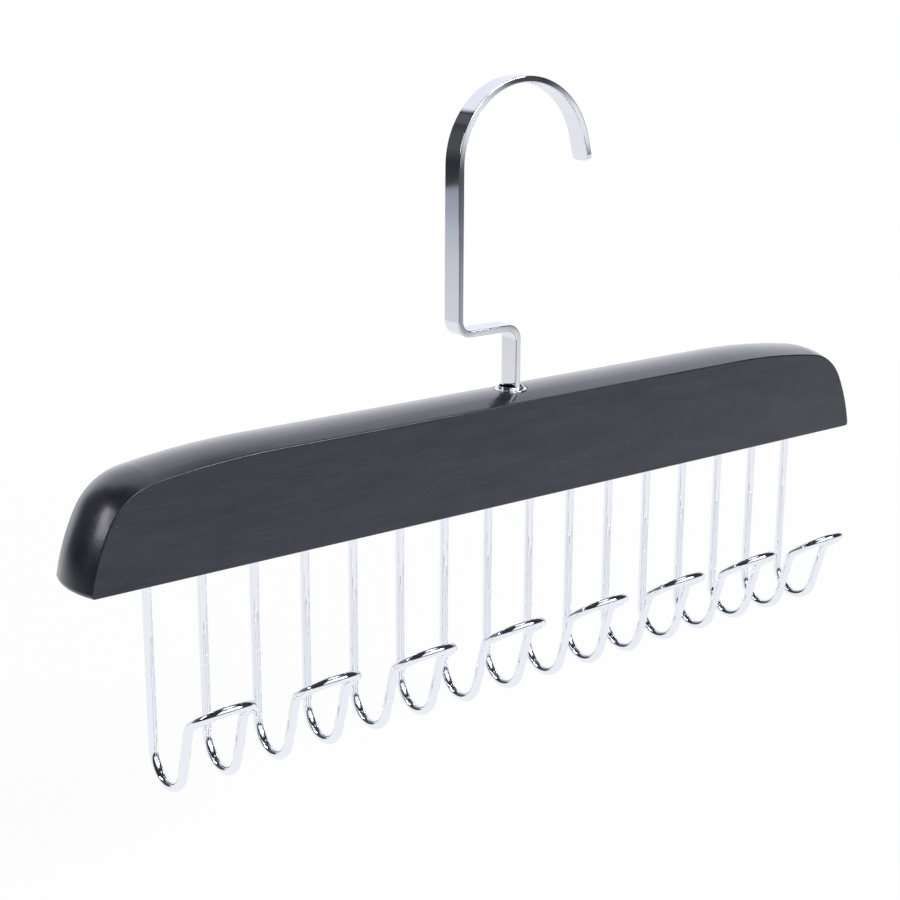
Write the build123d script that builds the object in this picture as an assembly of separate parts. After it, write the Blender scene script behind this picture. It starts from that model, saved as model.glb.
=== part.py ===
from build123d import *
import math
import os

os.makedirs("parts", exist_ok=True)

# Wooden bar, seen from the front: a flat top that falls to each end in three tangent arcs.
# Its length is taken along the underside, before the corners there are eased.
bar_length = 304.8
bar_thickness = 21.4
face_height = 31.8
edge_bulge = 1.9
rim_depth = 9.0
top_arc_radius = 256.0
shoulder_radius = 19.0
end_arc_radius = 62.0
top_arc_angle = 8.7
shoulder_angle = 62.0
underside_corner_radius = 1.2
face_edge_radius = 0.5

# Eight double hooks of bent wire, each pushed into two blind holes in the underside.
# The two legs of a hook stand apart by a share of the pitch, so the sixteen legs look evenly spaced.
wire_count = 8
end_margin = 23.5
leg_spacing_share = 0.504
wire_diameter = 2.75
leg_seat_depth = 14.0
wire_drop = 60.4
trough_radius = 8.5
trough_angle = 164.4
riser_length = 14.5
kink_radius = 5.0
kink_angle = 40.0
crest_run = 2.6

# Flat hanging hook: a stem, a step to one side, a longer stem, a round crook and a short straight tip.
strip_width = 7.1
strip_thickness = 2.0
strip_edge_radius = 0.35
crook_outer_radius = 25.6
crook_angle = 165.0
crook_height = 103.8
stem_offset = 2.1
step_height = 53.7
step_bend_radius = 4.0
tip_length = 7.6
tip_corner_radius = 1.8

# Ferrule pressed into the top of the bar, and the riveted washer that carries the bar.
flange_radius = 5.1
flange_thickness = 0.4
collar_height = 1.3
collar_root_radius = 0.5
ferrule_wall = 0.4
washer_radius = 5.3
washer_thickness = 1.0
tongue_width = 4.0
rivet_radius = 2.9
rivet_height = 1.1
rivet_recess = 0.8

# Clearances, and the distance every cut runs past the surface it opens.
press_gap = 0.02
running_gap = 0.05
free_gap = 0.3
overrun = 2.0

# Everything below follows from the values above.
half_thickness = bar_thickness / 2
half_face = bar_length / 2 - edge_bulge
crown_height = face_height + edge_bulge
wire_radius = wire_diameter / 2
wire_pitch = (bar_length - 2 * end_margin) / (wire_count - 1 + leg_spacing_share)
leg_spacing = leg_spacing_share * wire_pitch
crest_radius = leg_spacing / 2
half_strip = strip_thickness / 2
crook_radius = crook_outer_radius - half_strip
corner_reach = math.hypot(half_strip - strip_edge_radius, strip_width / 2 - strip_edge_radius)
ferrule_bore = corner_reach + strip_edge_radius + running_gap
ferrule_outer = ferrule_bore + ferrule_wall
crown_radius = (half_thickness**2 + edge_bulge**2) / (2 * edge_bulge)
flange_dip = crown_radius - math.sqrt(crown_radius**2 - flange_radius**2)
flange_seat = crown_height - flange_dip
washer_top = washer_thickness + rivet_height + rivet_recess
crook_centre = Location((-stem_offset, 0, -crook_height))


def sine(angle):
    return math.sin(math.radians(angle))


def cosine(angle):
    return math.cos(math.radians(angle))


def upright(axis_x, radius, low, high):
    """Cylinder along Z between two heights."""
    return Pos(axis_x, 0, (low + high) / 2) * Cylinder(radius, high - low)


def half_outline():
    """Left half of the face outline, run on past the underside."""
    top_fall = top_arc_radius * (1 - cosine(top_arc_angle))
    shoulder_fall = shoulder_radius * (cosine(top_arc_angle) - cosine(shoulder_angle))
    end_fall = face_height - top_fall - shoulder_fall
    end_angle = math.degrees(math.acos(cosine(shoulder_angle) - end_fall / end_arc_radius))
    top_run = top_arc_radius * sine(top_arc_angle)
    shoulder_run = shoulder_radius * (sine(shoulder_angle) - sine(top_arc_angle))
    end_run = end_arc_radius * (sine(end_angle) - sine(shoulder_angle))
    flat_end = half_face - top_run - shoulder_run - end_run
    extra_angle = math.degrees(overrun / end_arc_radius)
    flat = Line((0, face_height), (-flat_end, face_height))
    top_arc = JernArc(flat @ 1, flat % 1, top_arc_radius, top_arc_angle)
    shoulder = JernArc(top_arc @ 1, top_arc % 1, shoulder_radius, shoulder_angle - top_arc_angle)
    end_arc = JernArc(shoulder @ 1, shoulder % 1, end_arc_radius, end_angle - shoulder_angle + extra_angle)
    return flat, top_arc, shoulder, end_arc


def half_bar():
    """Left half of the blank: a flat-faced core inside a rim that is convex across its thickness."""
    outline = half_outline()
    low_corner = outline[-1] @ 1
    floor_line = Line((low_corner.X, low_corner.Y), (0, low_corner.Y))
    centre_line = Line((0, low_corner.Y), (0, face_height))
    core_face = Plane.XZ * make_face([*outline, floor_line, centre_line])
    core = extrude(core_face, half_thickness, both=True)
    rim_low = face_height - rim_depth
    crown = ThreePointArc((half_thickness, face_height), (0, crown_height), (-half_thickness, face_height))
    rim_sides = Polyline(
        (-half_thickness, face_height),
        (-half_thickness, rim_low),
        (half_thickness, rim_low),
        (half_thickness, face_height),
    )
    rim_face = Plane.YZ * make_face([*crown.edges(), *rim_sides.edges()])
    rim_path = Plane.XZ * Wire([edge for piece in outline for edge in piece.edges()])
    return core + sweep(rim_face, path=rim_path)


def hook_centres():
    """Distances of the wire hooks from the middle of the bar."""
    first = -wire_pitch * (wire_count - 1) / 2
    return [first + wire_pitch * index for index in range(wire_count)]


def make_bar():
    left = half_bar()
    blank = left + mirror(left, about=Plane.YZ)
    bar = split(blank, bisect_by=Plane.XY, keep=Keep.TOP)
    ends = [edge for edge in bar.edges().group_by(Axis.Z)[0] if abs(edge.center().X) > half_face]
    bar = fillet(ends, underside_corner_radius)
    faces = bar.faces().sort_by(Axis.Y)
    face_edges = faces[0].edges() + faces[-1].edges()
    bar = fillet([edge for edge in face_edges if edge.center().Z > underside_corner_radius], face_edge_radius)
    for centre in hook_centres():
        for side in (-1, 1):
            bar -= upright(centre + side * crest_radius, wire_radius + press_gap, -overrun, leg_seat_depth)
    bar -= upright(0, ferrule_outer + press_gap, washer_top, crown_height + overrun)
    bar -= upright(0, flange_radius + free_gap, flange_seat, crown_height + overrun)
    bar -= upright(0, washer_radius + free_gap, -overrun, washer_top)
    return bar


def make_ferrule():
    """Thin tube with a round-edged flange, and a collar that stands up out of the middle of the flange."""
    flange_top = flange_seat + flange_thickness
    rim_start = flange_radius - flange_thickness / 2
    collar_round = ferrule_wall / 2
    collar_straight = flange_seat + collar_height - collar_round
    tube_low = washer_top + free_gap
    lip = ThreePointArc(
        (ferrule_bore, collar_straight),
        (ferrule_bore + collar_round, flange_seat + collar_height),
        (ferrule_outer, collar_straight),
    )
    side = Line((ferrule_outer, collar_straight), (ferrule_outer, flange_top + collar_root_radius))
    root = JernArc(side @ 1, side % 1, collar_root_radius, 90)
    top = Line(root @ 1, (rim_start, flange_top))
    rim = ThreePointArc(top @ 1, (flange_radius, (flange_seat + flange_top) / 2), (rim_start, flange_seat))
    rest = Polyline(
        rim @ 1,
        (ferrule_outer, flange_seat),
        (ferrule_outer, tube_low),
        (ferrule_bore, tube_low),
        (ferrule_bore, collar_straight),
    )
    edges = [edge for piece in (lip, side, root, top, rim, rest) for edge in piece.edges()]
    return revolve(Plane.XZ * make_face(edges), Axis.Z)


def wire_side():
    """One leg of a double hook, from its seat in the bar to the start of the crest, in the YZ plane."""
    leg = Line((0, leg_seat_depth), (0, trough_radius - wire_drop))
    trough = JernArc(leg @ 1, leg % 1, trough_radius, -trough_angle)
    riser = Line(trough @ 1, trough @ 1 + (trough % 1) * riser_length)
    kink = JernArc(riser @ 1, riser % 1, kink_radius, kink_angle)
    run = Line(kink @ 1, kink @ 1 + (kink % 1) * crest_run)
    return leg, trough, riser, kink, run


def make_wire_hook(centre):
    """One piece of wire: two bent legs joined by a half-circle crest."""
    side = wire_side()
    run = side[-1]
    run_end = run @ 1
    crest_top = run_end + (run % 1) * crest_radius
    flat = Plane.YZ * Curve([edge for piece in side for edge in piece.edges()])
    left = Pos(centre - crest_radius, 0, 0) * flat
    right = Pos(centre + crest_radius, 0, 0) * flat
    crest = ThreePointArc(
        (centre - crest_radius, run_end.X, run_end.Y),
        (centre, crest_top.X, crest_top.Y),
        (centre + crest_radius, run_end.X, run_end.Y),
    )
    path = Wire([*left.edges(), *crest.edges(), *right.edges()])
    section = Pos(centre - crest_radius, 0, leg_seat_depth) * Circle(wire_radius)
    return sweep(section, path=path)


def strip_path():
    """Middle line of the flat hook from the washer to the tip of the crook, in the XZ plane."""
    first = Line((0, washer_top), (0, step_height - step_bend_radius))
    low_bend = JernArc(first @ 1, first % 1, step_bend_radius, 90)
    step_end = stem_offset - crook_radius + step_bend_radius
    step = Line(low_bend @ 1, (step_end, step_height))
    high_bend = JernArc(step @ 1, step % 1, step_bend_radius, -90)
    stem = Line(high_bend @ 1, (stem_offset - crook_radius, crook_height))
    crook = JernArc(stem @ 1, stem % 1, crook_radius, -crook_angle)
    tip = Line(crook @ 1, crook @ 1 + (crook % 1) * tip_length)
    return first, low_bend, step, high_bend, stem, crook, tip


def tip_corner_waste():
    """What is cut away to round the two corners at the tip, with the tip's end in the XY plane."""
    deep = strip_thickness + overrun
    inner = strip_width / 2 - tip_corner_radius
    middle = Pos(0, 0, tip_corner_radius / 2)
    zone = middle * Box(deep, strip_width + overrun, tip_corner_radius)
    kept = middle * Box(deep, 2 * inner, tip_corner_radius)
    for side in (-1, 1):
        kept += Pos(0, side * inner, tip_corner_radius) * Rot(0, 90, 0) * Cylinder(tip_corner_radius, deep)
    return zone - kept


def make_flat_hook():
    pieces = strip_path()
    section = Pos(0, 0, washer_top) * RectangleRounded(strip_thickness, strip_width, strip_edge_radius)
    path = Wire([edge for piece in pieces for edge in piece.edges()])
    strip = sweep(section, path=Plane.XZ * path)
    tip_end = pieces[-1] @ 1
    tip_place = Pos(tip_end.X, 0, tip_end.Y) * Rot(0, crook_angle - 180, 0)
    washer_low = washer_top - washer_thickness
    tongue_middle = (washer_low + washer_top) / 2
    tongue = Pos(0, 0, tongue_middle) * Box(strip_thickness, tongue_width, washer_thickness)
    head = upright(0, rivet_radius, rivet_recess, washer_low)
    return strip - tip_place * tip_corner_waste() + tongue + head


def make_washer():
    low = washer_top - washer_thickness
    slot_thickness = strip_thickness + 2 * press_gap
    slot_width = tongue_width + 2 * press_gap
    slot = Pos(0, 0, washer_top) * Box(slot_thickness, slot_width, 2 * washer_thickness + overrun)
    return upright(0, washer_radius, low, washer_top) - slot


pieces = {
    "bar": make_bar(),
    "ferrule": make_ferrule(),
    "flat_hook": make_flat_hook(),
    "rivet_washer": make_washer(),
}
for number, centre in enumerate(hook_centres(), start=1):
    pieces[f"wire_hook_{number}"] = make_wire_hook(centre)

for name, piece in pieces.items():
    export_step(crook_centre * piece, f"parts/{name}.step")
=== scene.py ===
import math

import bmesh
import bpy
from mathutils import Matrix, Vector


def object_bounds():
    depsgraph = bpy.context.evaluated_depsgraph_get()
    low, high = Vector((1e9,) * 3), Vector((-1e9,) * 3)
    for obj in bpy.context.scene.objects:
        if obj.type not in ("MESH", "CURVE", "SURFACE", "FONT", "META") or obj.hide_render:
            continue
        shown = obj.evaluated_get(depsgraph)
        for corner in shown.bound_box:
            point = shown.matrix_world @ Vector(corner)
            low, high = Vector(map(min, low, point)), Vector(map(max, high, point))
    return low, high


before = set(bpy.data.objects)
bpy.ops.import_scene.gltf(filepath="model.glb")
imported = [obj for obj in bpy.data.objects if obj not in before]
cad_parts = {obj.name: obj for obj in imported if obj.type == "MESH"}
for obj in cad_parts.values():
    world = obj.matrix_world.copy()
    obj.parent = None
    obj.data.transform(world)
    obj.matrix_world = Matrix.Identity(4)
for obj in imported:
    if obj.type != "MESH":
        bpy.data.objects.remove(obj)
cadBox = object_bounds()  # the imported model's own box, before anything is added
scene = bpy.context.scene
print("stage: packed model in,", len(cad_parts), "nodes")


def setInputs(node, values):
    for socket, value in values.items():
        node.inputs[socket].default_value = value


def addNode(tree, kind, place, values=None, **settings):
    node = tree.nodes.new(kind)
    node.location = place
    for key, value in settings.items():
        setattr(node, key, value)
    setInputs(node, values or {})
    return node


def addMaths(tree, operation, place, first, second):
    maths = addNode(tree, "ShaderNodeMath", place, operation=operation)
    tree.links.new(first, maths.inputs[0])
    tree.links.new(second, maths.inputs[1])
    return maths.outputs["Value"]


def addRange(tree, place, source, ends):
    spread = addNode(tree, "ShaderNodeMapRange", place, ends)
    tree.links.new(source, spread.inputs["Value"])
    return spread.outputs["Result"]


def newMaterial(name):
    material = bpy.data.materials.new(name)
    material.use_nodes = True
    tree = material.node_tree
    shader = tree.nodes["Principled BSDF"]
    return material, tree, shader


def giveMaterial(nodeNames, material):
    for nodeName in nodeNames:
        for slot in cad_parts[nodeName].material_slots:
            slot.material = material


# finishWaver: slow ripple and fine streaks of a polished or plated face, shared by all the metal
waverDetail = {"ripple": 1.0, "streak": 3.0}


def makeFinishWaver(detail):
    group = bpy.data.node_groups.new("finishWaver", "ShaderNodeTree")
    wanted = ("Ripple Scale", "Streak Scale", "Streak Stretch", "Base Roughness", "Roughness Spread")
    for socketName in wanted:
        group.interface.new_socket(socketName, in_out="INPUT", socket_type="NodeSocketFloat")
    for socketName in ("Roughness", "Height"):
        group.interface.new_socket(socketName, in_out="OUTPUT", socket_type="NodeSocketFloat")
    given = addNode(group, "NodeGroupInput", (-900, 0)).outputs
    result = addNode(group, "NodeGroupOutput", (500, 0)).inputs
    coordinates = addNode(group, "ShaderNodeTexCoord", (-900, 250)).outputs["Object"]
    ripple = addNode(group, "ShaderNodeTexNoise", (-300, 250), {"Detail": detail["ripple"]})
    stretch = addNode(group, "ShaderNodeCombineXYZ", (-700, -150), {"X": 1.0, "Y": 1.0})
    squeeze = addNode(group, "ShaderNodeVectorMath", (-500, -50), operation="MULTIPLY")
    streak = addNode(group, "ShaderNodeTexNoise", (-300, -50), {"Detail": detail["streak"]})
    link = group.links.new
    link(coordinates, ripple.inputs["Vector"])
    link(given["Ripple Scale"], ripple.inputs["Scale"])
    link(given["Streak Stretch"], stretch.inputs["Z"])
    link(coordinates, squeeze.inputs[0])
    link(stretch.outputs["Vector"], squeeze.inputs[1])
    link(squeeze.outputs["Vector"], streak.inputs["Vector"])
    link(given["Streak Scale"], streak.inputs["Scale"])
    spread = addMaths(group, "MULTIPLY", (0, -50), streak.outputs["Fac"], given["Roughness Spread"])
    link(addMaths(group, "ADD", (200, -50), spread, given["Base Roughness"]), result["Roughness"])
    link(ripple.outputs["Fac"], result["Height"])
    return group


finishWaver = makeFinishWaver(waverDetail)


def makeMetal(name, look):
    material, tree, shader = newMaterial(name)
    setInputs(shader, {"Base Color": look["colour"], "Metallic": 1.0})
    finish = addNode(tree, "ShaderNodeGroup", (-600, 0), node_tree=finishWaver)
    setInputs(finish, {
        "Ripple Scale": look["rippleScale"],
        "Streak Scale": look["streakScale"],
        "Streak Stretch": look["streakStretch"],
        "Base Roughness": look["roughness"],
        "Roughness Spread": look["roughnessSpread"],
    })
    bump = addNode(tree, "ShaderNodeBump", (-300, -200))
    setInputs(bump, {"Strength": look["rippleStrength"], "Distance": look["rippleDepth"]})
    tree.links.new(finish.outputs["Roughness"], shader.inputs["Roughness"])
    tree.links.new(finish.outputs["Height"], bump.inputs["Height"])
    tree.links.new(bump.outputs["Normal"], shader.inputs["Normal"])
    return material


# bar: black satin paint over fine straight grain, with a few pale specks
barLook = {
    "paint": (0.0084, 0.0087, 0.0152, 1.0),
    "paintPale": (0.0203, 0.0207, 0.0300, 1.0),
    "grainScale": 190.0,
    "grainStretch": 0.17,  # along the bar
    "grainDetail": 5.0,
    "grainHarshness": 0.74,
    "grainDark": 0.35,  # where in the noise the paint is darkest, then palest
    "grainPale": 0.68,
    "poreScale": 1500.0,
    "poreStretch": 0.03,
    "poreDetail": 2.0,
    "poreStrength": 0.35,
    "poreDepth": 0.00012,
    "speckColour": (0.32, 0.32, 0.34, 1.0),
    "speckScale": 260.0,
    "speckSize": 0.035,
    "speckCoreShare": 0.5,  # the part of a speck that has its full colour
    "speckPatchShare": 0.13,  # scale of the patches that have specks, by that of the specks
    "speckPatchStart": 0.54,  # a higher value makes such patches rarer
    "speckPatchEnd": 0.60,
    "roughness": 0.25,
    "roughnessSpread": 0.08,
    "sheen": (0.85, 0.86, 1.0, 1.0),  # the paint's own faint blue in what it reflects
    "paintIor": 1.4,
    "lacquer": 1.0,
    "lacquerIor": 1.3,
    "lacquerRoughness": 0.22,
}


def addStreaks(tree, coordinates, top, stretch, values):
    squeeze = addNode(tree, "ShaderNodeMapping", (-1300, top), {"Scale": (stretch, 1.0, 1.0)})
    noise = addNode(tree, "ShaderNodeTexNoise", (-1100, top), values)
    tree.links.new(coordinates, squeeze.inputs["Vector"])
    tree.links.new(squeeze.outputs["Vector"], noise.inputs["Vector"])
    return noise.outputs["Fac"]


def addSpecks(tree, coordinates, look):
    speck = addNode(tree, "ShaderNodeTexVoronoi", (-1100, -400), {"Scale": look["speckScale"]})
    patch = addNode(tree, "ShaderNodeTexNoise", (-1100, -650))
    setInputs(patch, {"Scale": look["speckScale"] * look["speckPatchShare"]})
    tree.links.new(coordinates, speck.inputs["Vector"])
    tree.links.new(coordinates, patch.inputs["Vector"])
    rim, core = look["speckSize"], look["speckSize"] * look["speckCoreShare"]
    dot = addRange(tree, (-900, -400), speck.outputs["Distance"], {"From Min": rim, "From Max": core})
    patchEnds = {"From Min": look["speckPatchStart"], "From Max": look["speckPatchEnd"]}
    inPatch = addRange(tree, (-900, -650), patch.outputs["Fac"], patchEnds)
    return addMaths(tree, "MULTIPLY", (-700, -500), dot, inPatch)


def makePaintedWood(name, look):
    material, tree, shader = newMaterial(name)
    coordinates = addNode(tree, "ShaderNodeTexCoord", (-1500, 0)).outputs["Object"]
    grain = addStreaks(tree, coordinates, 250, look["grainStretch"], {
        "Scale": look["grainScale"],
        "Detail": look["grainDetail"],
        "Roughness": look["grainHarshness"],
    })
    pore = addStreaks(tree, coordinates, -100, look["poreStretch"], {
        "Scale": look["poreScale"],
        "Detail": look["poreDetail"],
    })
    grainEnds = {"From Min": look["grainDark"], "From Max": look["grainPale"]}
    halfSpread = look["roughnessSpread"] / 2
    roughEnds = {"To Min": look["roughness"] - halfSpread, "To Max": look["roughness"] + halfSpread}
    paint = addNode(tree, "ShaderNodeMix", (-600, 200), data_type="RGBA")
    setInputs(paint, {"A": look["paint"], "B": look["paintPale"]})
    dusted = addNode(tree, "ShaderNodeMix", (-350, 200), data_type="RGBA")
    setInputs(dusted, {"B": look["speckColour"]})
    bump = addNode(tree, "ShaderNodeBump", (-350, -200))
    setInputs(bump, {"Strength": look["poreStrength"], "Distance": look["poreDepth"]})
    link = tree.links.new
    link(addRange(tree, (-900, 250), grain, grainEnds), paint.inputs["Factor"])
    link(paint.outputs["Result"], dusted.inputs["A"])
    link(addSpecks(tree, coordinates, look), dusted.inputs["Factor"])
    link(dusted.outputs["Result"], shader.inputs["Base Color"])
    link(addRange(tree, (-600, -50), grain, roughEnds), shader.inputs["Roughness"])
    link(pore, bump.inputs["Height"])
    link(bump.outputs["Normal"], shader.inputs["Normal"])
    setInputs(shader, {
        "IOR": look["paintIor"],
        "Specular Tint": look["sheen"],
        "Coat Weight": look["lacquer"],
        "Coat IOR": look["lacquerIor"],
        "Coat Roughness": look["lacquerRoughness"],
    })
    return material


giveMaterial(["bar"], makePaintedWood("paintedWood", barLook))
print("stage: bar painted")


# flat hook: bright plated strip
stripLook = {
    "colour": (0.785, 0.80, 0.835, 1.0),
    "rippleScale": 55.0,
    "rippleStrength": 0.25,
    "rippleDepth": 0.0003,
    "streakScale": 1400.0,
    "streakStretch": 0.04,  # along the stem
    "roughness": 0.03,
    "roughnessSpread": 0.04,
}
giveMaterial(["flat_hook"], makeMetal("platedStrip", stripLook))

# wire hooks: bright plated wire, a little drawn along its length
wireLook = {
    "colour": (0.86, 0.885, 0.915, 1.0),
    "rippleScale": 40.0,
    "rippleStrength": 0.15,
    "rippleDepth": 0.0004,
    "streakScale": 1800.0,
    "streakStretch": 0.05,
    "roughness": 0.05,
    "roughnessSpread": 0.04,
}
wireNames = [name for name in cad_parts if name.startswith("wire_hook")]
giveMaterial(wireNames, makeMetal("platedWire", wireLook))

# ferrule: the same plating over thin stamped sheet
ferruleLook = {
    "colour": (0.80, 0.825, 0.885, 1.0),
    "rippleScale": 300.0,
    "rippleStrength": 0.2,
    "rippleDepth": 0.0003,
    "streakScale": 2200.0,
    "streakStretch": 1.0,
    "roughness": 0.07,
    "roughnessSpread": 0.06,
}
giveMaterial(["ferrule"], makeMetal("platedFerrule", ferruleLook))

# washer: dull zinc, seen only from below
washerLook = {
    "colour": (0.62, 0.63, 0.65, 1.0),
    "rippleScale": 400.0,
    "rippleStrength": 0.2,
    "rippleDepth": 0.0002,
    "streakScale": 1200.0,
    "streakStretch": 1.0,
    "roughness": 0.28,
    "roughnessSpread": 0.15,
}
giveMaterial(["rivet_washer"], makeMetal("dullZinc", washerLook))
print("stage: metal plated")


# camera: where the photograph was taken from, in metres and degrees
cameraView = {
    "place": (-0.34115, -0.40914, 0.05938),
    "turn": 37.619,  # from looking along +Y towards +X
    "dip": 15.746,
    "tilt": -0.285,
    "lens": 69.96,  # in mm, as is the sensor
    "sensor": 36.0,
    "nearest": 0.01,
    "farthest": 50.0,
}


def makeCamera(look):
    lens = bpy.data.cameras.new("photoCamera")
    lens.lens = look["lens"]
    lens.sensor_width = look["sensor"]
    lens.clip_start = look["nearest"]
    lens.clip_end = look["farthest"]
    camera = bpy.data.objects.new("photoCamera", lens)
    scene.collection.objects.link(camera)
    turn = Matrix.Rotation(-math.radians(look["turn"]), 4, "Z")
    dip = Matrix.Rotation(math.radians(90 - look["dip"]), 4, "X")
    tilt = Matrix.Rotation(-math.radians(look["tilt"]), 4, "Z")
    camera.matrix_world = Matrix.Translation(look["place"]) @ turn @ dip @ tilt
    scene.camera = camera


makeCamera(cameraView)
print("stage: camera placed")


# studio: a pale floor well below the hanging object, four soft lamps and a white surround
plainWhite = (1.0, 1.0, 1.0, 1.0)
floorLook = {
    "drop": 0.16,  # below the lowest wire
    "back": 2.0,  # how far the floor runs behind the object and to its sides
    "front": 1.03,  # and in front of it
    "colour": (0.88, 0.88, 0.89, 1.0),
    "roughness": 0.9,
    "gloss": 0.1,
    "whiteShare": 0.9,  # plain white in what the camera sees of the floor near the object
    "fadeStart": 0.5,  # distances over which the floor turns all white
    "fadeEnd": 1.3,
    "mirroredShadeTones": (  # painted shade, the floor as metal shows it, darker with distance as if less lit: distance, then its red, green and blue
        (0.8, 0.965, 0.962, 1.0),
        (1.25, 0.835, 0.835, 0.855),
        (1.95, 0.60, 0.625, 0.69),
        (2.4, 0.365, 0.385, 0.445),
    ),
    "mirroredReach": 3.0,  # distance at the far end of the ramp that holds those tones
}


def addRayMasks(tree, place):
    path = addNode(tree, "ShaderNodeLightPath", place)
    beside = (place[0] + 200, place[1] - 150)
    glossy, transmitted = path.outputs["Is Glossy Ray"], path.outputs["Is Transmission Ray"]
    return path.outputs["Is Camera Ray"], addMaths(tree, "MAXIMUM", beside, glossy, transmitted)


def addChoice(tree, place, mask, usual, masked):
    choice = addNode(tree, "ShaderNodeMixShader", place)
    tree.links.new(mask, choice.inputs["Fac"])
    tree.links.new(usual, choice.inputs[1])
    tree.links.new(masked, choice.inputs[2])
    return choice.outputs["Shader"]


def makeFloorShape(look):
    shape = bmesh.new()
    bmesh.ops.create_grid(shape, x_segments=1, y_segments=1, size=look["back"])
    frontRow = [vert for vert in shape.verts if vert.co.y < 0]
    bmesh.ops.translate(shape, vec=(0, look["back"] - look["front"], 0), verts=frontRow)
    bmesh.ops.translate(shape, vec=(0, 0, cadBox[0].z - look["drop"]), verts=shape.verts)
    mesh = bpy.data.meshes.new("floor")
    shape.to_mesh(mesh)
    shape.free()
    floor = bpy.data.objects.new("floor", mesh)
    scene.collection.objects.link(floor)
    return floor


def makePaleFloor(name, look):
    material, tree, shader = newMaterial(name)
    setInputs(shader, {
        "Base Color": look["colour"],
        "Roughness": look["roughness"],
        "Specular IOR Level": look["gloss"],
    })
    link = tree.links.new
    coordinates = addNode(tree, "ShaderNodeTexCoord", (-1300, 0)).outputs["Object"]
    away = addNode(tree, "ShaderNodeVectorMath", (-1100, 0), operation="LENGTH")
    link(coordinates, away.inputs[0])
    distance = away.outputs["Value"]
    whiteShare = addRange(tree, (-850, 150), distance, {
        "From Min": look["fadeStart"],
        "From Max": look["fadeEnd"],
        "To Min": look["whiteShare"],
        "To Max": 1.0,
    })
    reach = addNode(tree, "ShaderNodeMath", (-850, -250), {1: look["mirroredReach"]}, operation="DIVIDE")
    # painted shade: glowing tones for the floor as metal sees it, darker with distance in place of the
    # lamps' falloff
    tones = addNode(tree, "ShaderNodeValToRGB", (-600, -250))
    stops = tones.color_ramp.elements
    for row, (toneDistance, red, green, blue) in enumerate(look["mirroredShadeTones"]):
        position = toneDistance / look["mirroredReach"]
        stop = stops[row] if row < 2 else stops.new(position)  # a new ramp has two stops
        stop.position = position
        stop.color = (red, green, blue, 1.0)
    white = addNode(tree, "ShaderNodeEmission", (-200, 150), {"Color": plainWhite})
    mirroredFloorShade = addNode(tree, "ShaderNodeEmission", (-200, -250))
    link(distance, reach.inputs[0])
    link(reach.outputs["Value"], tones.inputs["Fac"])
    link(tones.outputs["Color"], mirroredFloorShade.inputs["Color"])
    fromCamera, fromMetal = addRayMasks(tree, (-850, 600))
    seenWhite = addMaths(tree, "MULTIPLY", (-200, 700), fromCamera, whiteShare)
    seen = addChoice(tree, (50, 150), seenWhite, shader.outputs["BSDF"], white.outputs["Emission"])
    surface = addChoice(tree, (300, 50), fromMetal, seen, mirroredFloorShade.outputs["Emission"])
    link(surface, tree.nodes["Material Output"].inputs["Surface"])
    return material


floor = makeFloorShape(floorLook)
floor.data.materials.append(makePaleFloor("paleFloor", floorLook))
print("stage: floor laid")


lampAim = Vector((-0.05, 0.0, -0.1))
lampLooks = (
    {"name": "overheadSoftbox", "place": (0.05, 0.1, 1.5),
     "size": (0.8, 0.8), "power": 4.0, "lean": 0.0},
    {"name": "leftSoftbox", "place": (-0.743, 0.394, 0.266),
     "size": (0.11, 0.35), "power": 1.1, "lean": 24.0},  # gives the highlight on the bar's left end
    {"name": "rightSoftbox", "place": (0.546, -0.93, 0.57),
     "size": (0.46, 0.30), "power": 7.0, "lean": 0.0},
    {"name": "frontSoftbox", "place": (-0.104, -0.98, 0.63),
     "size": (0.34, 0.26), "power": 3.6, "lean": 0.0},
)


def makeLamp(look):
    lamp = bpy.data.lights.new(look["name"], "AREA")
    lamp.shape = "RECTANGLE"
    lamp.size, lamp.size_y = look["size"]
    lamp.energy = look["power"]
    holder = bpy.data.objects.new(look["name"], lamp)
    scene.collection.objects.link(holder)
    place = Vector(look["place"])
    turned = (lampAim - place).to_track_quat("-Z", "Y").to_matrix().to_4x4()
    leaning = Matrix.Rotation(math.radians(look["lean"]), 4, "Z")
    holder.matrix_world = Matrix.Translation(place) @ turned @ leaning


for lampLook in lampLooks:
    makeLamp(lampLook)
print("stage: lamps hung")


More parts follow.
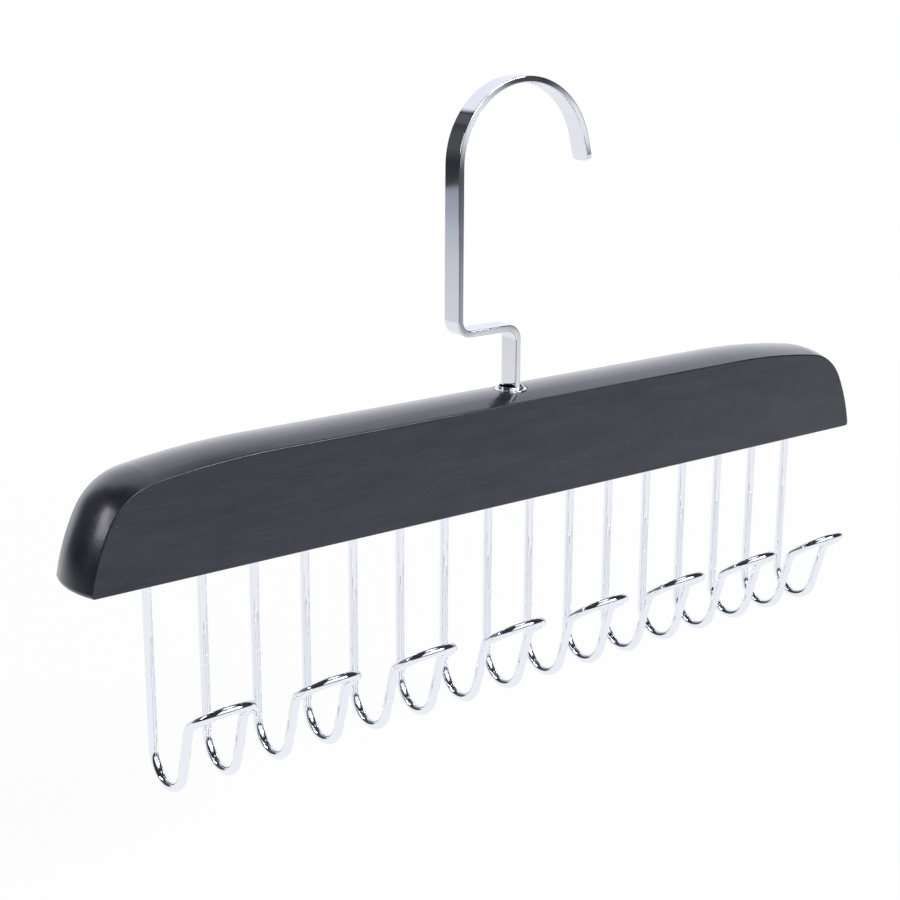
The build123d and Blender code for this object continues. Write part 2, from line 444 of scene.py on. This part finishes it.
# surround: what metal and gloss show of the room, as areas over a dim shade that blend at their rims
# azimuth runs from +X towards +Y, low and high are heights over the horizon, all in degrees
surroundLook = {
    "ambient": 0.62,
    "coolness": (0.97, 0.99, 1.065),  # the daylight's faint blue
    "roomShade": (0.035, 0.035, 0.040, 1.0),
    "poleGap": 0.001,  # keeps a blend's two ends apart straight up and straight down
}
roomAreas = (
    {"what": "white wall behind the object", "azimuth": 62.0, "halfWidth": 43.0,
     "low": -90.0, "high": 46.0, "soft": 2.5, "shade": 1.0},
    {"what": "higher part of that wall", "azimuth": 80.0, "halfWidth": 22.0,
     "low": 30.0, "high": 62.0, "soft": 4.0, "shade": 1.0},
    {"what": "bright window in front", "azimuth": -92.0, "halfWidth": 42.0,
     "low": 7.0, "high": 57.0, "soft": 2.0, "shade": 1.2},
    {"what": "grey wall past the floor's front edge", "azimuth": -52.0, "halfWidth": 14.0,
     "low": -30.0, "high": -9.5, "soft": 3.5, "shade": 0.5},
    {"what": "thin bright line over that wall", "azimuth": -52.0, "halfWidth": 26.0,
     "low": -6.0, "high": -4.3, "soft": 0.4, "shade": 1.0},
    {"what": "grey wall on the right", "azimuth": -4.0, "halfWidth": 21.0,
     "low": -90.0, "high": -2.5, "soft": 1.0, "shade": 0.3},
    {"what": "pale ground in front on the left", "azimuth": -132.0, "halfWidth": 35.0,
     "low": -90.0, "high": -9.0, "soft": 4.0, "shade": 0.45},
    {"what": "faint patch behind on the left", "azimuth": 118.0, "halfWidth": 20.0,
     "low": 4.0, "high": 26.0, "soft": 5.0, "shade": 0.085},
    {"what": "faint band over that patch", "azimuth": 113.0, "halfWidth": 14.0,
     "low": 28.0, "high": 34.0, "soft": 0.8, "shade": 0.11},
)


def heightOf(degrees):
    return math.sin(math.radians(max(-90.0, min(90.0, degrees))))


def addArea(tree, direction, upward, area, gap, top):
    link = tree.links.new
    bearing, soft = math.radians(area["azimuth"]), area["soft"]
    towards = (math.cos(bearing), math.sin(bearing), 0.0)
    flat = addNode(tree, "ShaderNodeVectorMath", (-1300, top), {1: (1.0, 1.0, 0.0)}, operation="MULTIPLY")
    level = addNode(tree, "ShaderNodeVectorMath", (-1100, top), operation="NORMALIZE")
    side = addNode(tree, "ShaderNodeVectorMath", (-900, top), {1: towards}, operation="DOT_PRODUCT")
    link(direction, flat.inputs[0])
    link(flat.outputs["Vector"], level.inputs[0])
    link(level.outputs["Vector"], side.inputs[0])
    across = addRange(tree, (-700, top), side.outputs["Value"], {
        "From Min": math.cos(math.radians(area["halfWidth"] + soft)),
        "From Max": math.cos(math.radians(area["halfWidth"] - soft)),
    })
    above = addRange(tree, (-700, top - 150), upward, {
        "From Min": heightOf(area["low"] - soft) - gap,
        "From Max": heightOf(area["low"] + soft),
    })
    below = addRange(tree, (-700, top - 300), upward, {
        "From Min": heightOf(area["high"] + soft) + gap,
        "From Max": heightOf(area["high"] - soft),
    })
    band = addMaths(tree, "MULTIPLY", (-500, top - 200), above, below)
    return addMaths(tree, "MULTIPLY", (-300, top - 100), across, band)


def addRoom(tree, look, areas):
    link = tree.links.new
    direction = addNode(tree, "ShaderNodeTexCoord", (-1700, 0)).outputs["Generated"]
    parts = addNode(tree, "ShaderNodeSeparateXYZ", (-1500, -200))
    link(direction, parts.inputs["Vector"])
    colour = None
    for row, area in enumerate(areas):
        mask = addArea(tree, direction, parts.outputs["Z"], area, look["poleGap"], row * -450)
        mix = addNode(tree, "ShaderNodeMix", (row * 200, -400), data_type="RGBA", label=area["what"])
        brightness = [area["shade"] * part for part in look["coolness"]]
        setInputs(mix, {"A": look["roomShade"], "B": (*brightness, 1.0)})
        link(mask, mix.inputs["Factor"])
        if colour is not None:
            link(colour, mix.inputs["A"])
        colour = mix.outputs["Result"]
    return colour


def makeSurround(name, look, areas):
    world = bpy.data.worlds.new(name)
    scene.world = world
    world.use_nodes = True
    tree = world.node_tree
    for node in list(tree.nodes):
        tree.nodes.remove(node)
    dim = addNode(tree, "ShaderNodeBackground", (900, -100))
    setInputs(dim, {"Color": plainWhite, "Strength": look["ambient"]})
    room = addNode(tree, "ShaderNodeBackground", (900, 50))
    white = addNode(tree, "ShaderNodeBackground", (900, 200), {"Color": plainWhite})
    out = addNode(tree, "ShaderNodeOutputWorld", (1550, 100))
    tree.links.new(addRoom(tree, look, areas), room.inputs["Color"])
    fromCamera, fromMetal = addRayMasks(tree, (700, 650))
    lit = addChoice(tree, (1150, 0), fromMetal, dim.outputs["Background"], room.outputs["Background"])
    shown = addChoice(tree, (1350, 100), fromCamera, lit, white.outputs["Background"])
    tree.links.new(shown, out.inputs["Surface"])


makeSurround("surround", surroundLook, roomAreas)
scene.view_settings.view_transform = "Standard"
print("stage: surround made")
